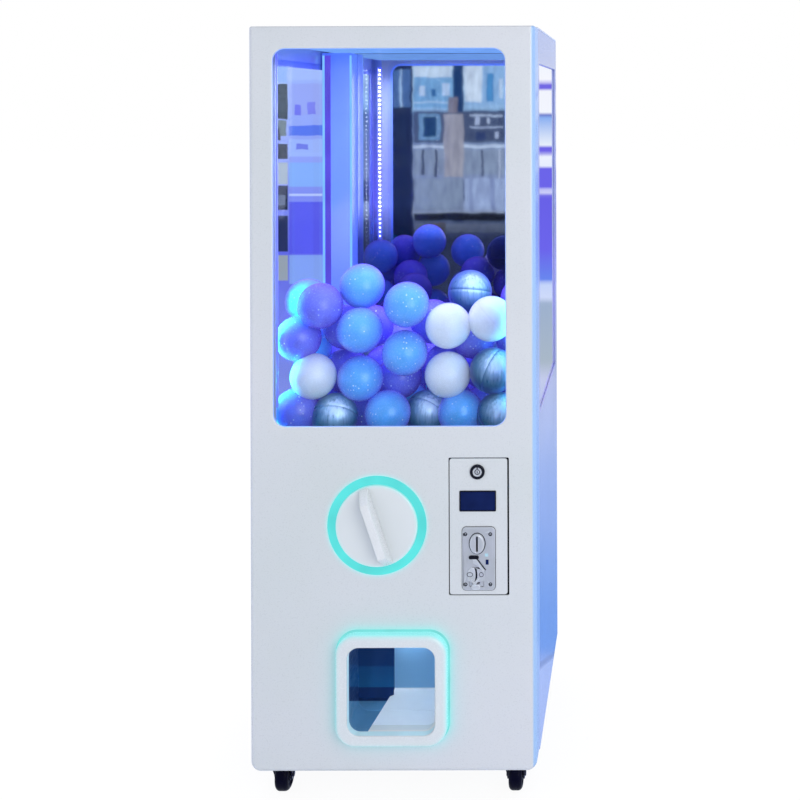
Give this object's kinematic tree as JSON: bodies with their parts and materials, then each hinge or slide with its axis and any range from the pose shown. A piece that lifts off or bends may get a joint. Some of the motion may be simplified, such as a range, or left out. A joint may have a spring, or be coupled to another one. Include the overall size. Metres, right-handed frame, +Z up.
{
  "type": "capsule toy vendor",
  "caption": "Tall cabinet with a lit capsule chamber, turning dial, coin unit with screen, flap-covered exit and castors.",
  "frame": {"origin": "on the floor under the middle of the cabinet's outline", "axes": "+Z up, -Y out of the front door, +X to the right as seen from the front"},
  "size_m": [0.58, 0.64, 1.584],
  "materials": {
    "shell_white": "gloss",
    "side_gloss": "gloss",
    "roof_paint": "satin",
    "steel": "satin",
    "silver": "satin",
    "black_plastic": "satin",
    "castor_rubber": "satin",
    "clear_glass": "gloss",
    "tinted_glass": "gloss",
    "mirror": "gloss",
    "lamp_blue": "satin",
    "glow_turquoise": "gloss",
    "nylon": "satin",
    "capsule_blue": "gloss",
    "exit_lining": "satin",
    "screen_navy": "gloss",
    "circuit_green": "matte",
    "galvanised": "satin"
  },
  "bodies": {
    "cabinet": {"base_frame": "steel", "left_side_panel": "side_gloss", "right_side_panel": "side_gloss", "roof_panel": "roof_paint", "back_panel": "galvanised", "left_side_glass": "clear_glass", "right_side_glass": "clear_glass", "back_mirror": "mirror", "inner_front_glass": "clear_glass", "ceiling_light": "lamp_blue", "left_led_strip": "lamp_blue", "right_led_strip": "lamp_blue", "left_corner_post": "shell_white", "right_corner_post": "shell_white", "upper_hinge_pin": "steel", "lower_hinge_pin": "steel", "hopper_funnel": "nylon", "carousel_deck": "galvanised", "capsule_pile": "capsule_blue", "drop_chute": "black_plastic", "exit_box": "exit_lining", "shaft_bracket": "steel", "lower_bearing": "steel", "control_board": "circuit_green", "power_supply": "galvanised"},
    "front_door": {"front_shell": "shell_white", "window_glass": "clear_glass", "exit_frame": "shell_white", "exit_light_ring": "glow_turquoise", "dial_light_ring": "glow_turquoise", "dial_bush": "nylon"},
    "dial": {"dial_disc": "shell_white", "dial_grip": "shell_white", "dial_shaft": "steel"},
    "drive_shaft": {"drive_shaft": "steel", "drive_pinion": "nylon"},
    "carousel": {"carousel": "nylon", "agitator": "nylon", "carousel_shaft": "steel", "crown_gear": "nylon"},
    "coin_door": {"coin_door_panel": "shell_white", "display_screen": "screen_navy", "coin_plate": "silver", "coin_acceptor_body": "black_plastic", "lock_ring": "black_plastic"},
    "lock_core": {"lock_core": "silver"},
    "reject_button": {"reject_button": "black_plastic"},
    "coin_return_flap": {"coin_return_flap": "silver"},
    "exit_flap": {"exit_flap": "tinted_glass"},
    "coin_box": {"coin_box": "black_plastic"},
    "rear_door": {"rear_door": "galvanised"},
    "rear_lock_core": {"rear_lock_core": "silver"},
    "front_left_swivel": {"front_left_fork": "black_plastic"},
    "front_left_roller": {"front_left_wheel": "castor_rubber"},
    "front_right_swivel": {"front_right_fork": "black_plastic"},
    "front_right_roller": {"front_right_wheel": "castor_rubber"},
    "rear_left_swivel": {"rear_left_fork": "black_plastic"},
    "rear_left_roller": {"rear_left_wheel": "castor_rubber"},
    "rear_right_swivel": {"rear_right_fork": "black_plastic"},
    "rear_right_roller": {"rear_right_wheel": "castor_rubber"}
  },
  "joints": [
    {"name": "front_door_hinge", "type": "hinge", "parent": "cabinet", "child": "front_door", "pos_m": [-0.284, -0.216, 0.8], "axis": [0, 0, -1], "range_deg": [0, 105]},
    {"name": "carousel_spin", "type": "hinge", "parent": "cabinet", "child": "carousel", "pos_m": [-0.032, 0.04, 0.6], "axis": [0, 0, 1], "continuous": true},
    {"name": "drive_shaft_spin", "type": "hinge", "parent": "cabinet", "child": "drive_shaft", "pos_m": [-0.032, -0.1, 0.573], "axis": [0, 1, 0], "continuous": true},
    {"name": "dial_turn", "type": "hinge", "parent": "front_door", "child": "dial", "pos_m": [-0.032, -0.28, 0.573], "axis": [0, 1, 0], "continuous": true},
    {"name": "coin_door_hinge", "type": "hinge", "parent": "front_door", "child": "coin_door", "pos_m": [0.173, -0.277, 0.438], "axis": [1, 0, 0], "range_deg": [0, 90]},
    {"name": "lock_turn", "type": "hinge", "parent": "coin_door", "child": "lock_core", "pos_m": [0.1714, -0.28, 0.681], "axis": [0, -1, 0], "range_deg": [0, 90]},
    {"name": "reject_press", "type": "slide", "parent": "coin_door", "child": "reject_button", "axis": [0, 1, 0], "range_m": [0, 0.003]},
    {"name": "coin_return_swing", "type": "hinge", "parent": "coin_door", "child": "coin_return_flap", "pos_m": [0.1695, -0.2813, 0.471], "axis": [1, 0, 0], "range_deg": [0, 60]},
    {"name": "exit_flap_swing", "type": "hinge", "parent": "front_door", "child": "exit_flap", "pos_m": [0, -0.287, 0.328], "axis": [1, 0, 0], "range_deg": [0, 45]},
    {"name": "coin_box_slide", "type": "slide", "parent": "cabinet", "child": "coin_box", "axis": [0, -1, 0], "range_m": [0, 0.07]},
    {"name": "rear_door_hinge", "type": "hinge", "parent": "cabinet", "child": "rear_door", "pos_m": [0.249, 0.317, 0.288], "axis": [0, 0, -1], "range_deg": [0, 110]},
    {"name": "rear_lock_turn", "type": "hinge", "parent": "rear_door", "child": "rear_lock_core", "pos_m": [-0.225, 0.317, 0.288], "axis": [0, -1, 0], "range_deg": [0, 90]},
    {"name": "front_left_swivel", "type": "hinge", "parent": "cabinet", "child": "front_left_swivel", "pos_m": [-0.241, -0.186, 0.07], "axis": [0, 0, 1], "continuous": true},
    {"name": "front_left_roll", "type": "hinge", "parent": "front_left_swivel", "child": "front_left_roller", "pos_m": [-0.241, -0.21, 0.0315], "axis": [1, 0, 0], "continuous": true},
    {"name": "front_right_swivel", "type": "hinge", "parent": "cabinet", "child": "front_right_swivel", "pos_m": [0.241, -0.186, 0.07], "axis": [0, 0, 1], "continuous": true},
    {"name": "front_right_roll", "type": "hinge", "parent": "front_right_swivel", "child": "front_right_roller", "pos_m": [0.241, -0.21, 0.0315], "axis": [1, 0, 0], "continuous": true},
    {"name": "rear_left_swivel", "type": "hinge", "parent": "cabinet", "child": "rear_left_swivel", "pos_m": [-0.241, 0.236, 0.07], "axis": [0, 0, 1], "continuous": true},
    {"name": "rear_left_roll", "type": "hinge", "parent": "rear_left_swivel", "child": "rear_left_roller", "pos_m": [-0.241, 0.212, 0.0315], "axis": [1, 0, 0], "continuous": true},
    {"name": "rear_right_swivel", "type": "hinge", "parent": "cabinet", "child": "rear_right_swivel", "pos_m": [0.241, 0.236, 0.07], "axis": [0, 0, 1], "continuous": true},
    {"name": "rear_right_roll", "type": "hinge", "parent": "rear_right_swivel", "child": "rear_right_roller", "pos_m": [0.241, 0.212, 0.0315], "axis": [1, 0, 0], "continuous": true}
  ],
  "couplings": [
    {"joint": "drive_shaft_spin", "follows": "carousel_spin", "ratio": -2.5},
    {"joint": "dial_turn", "follows": "carousel_spin", "ratio": -2.5}
  ]
}
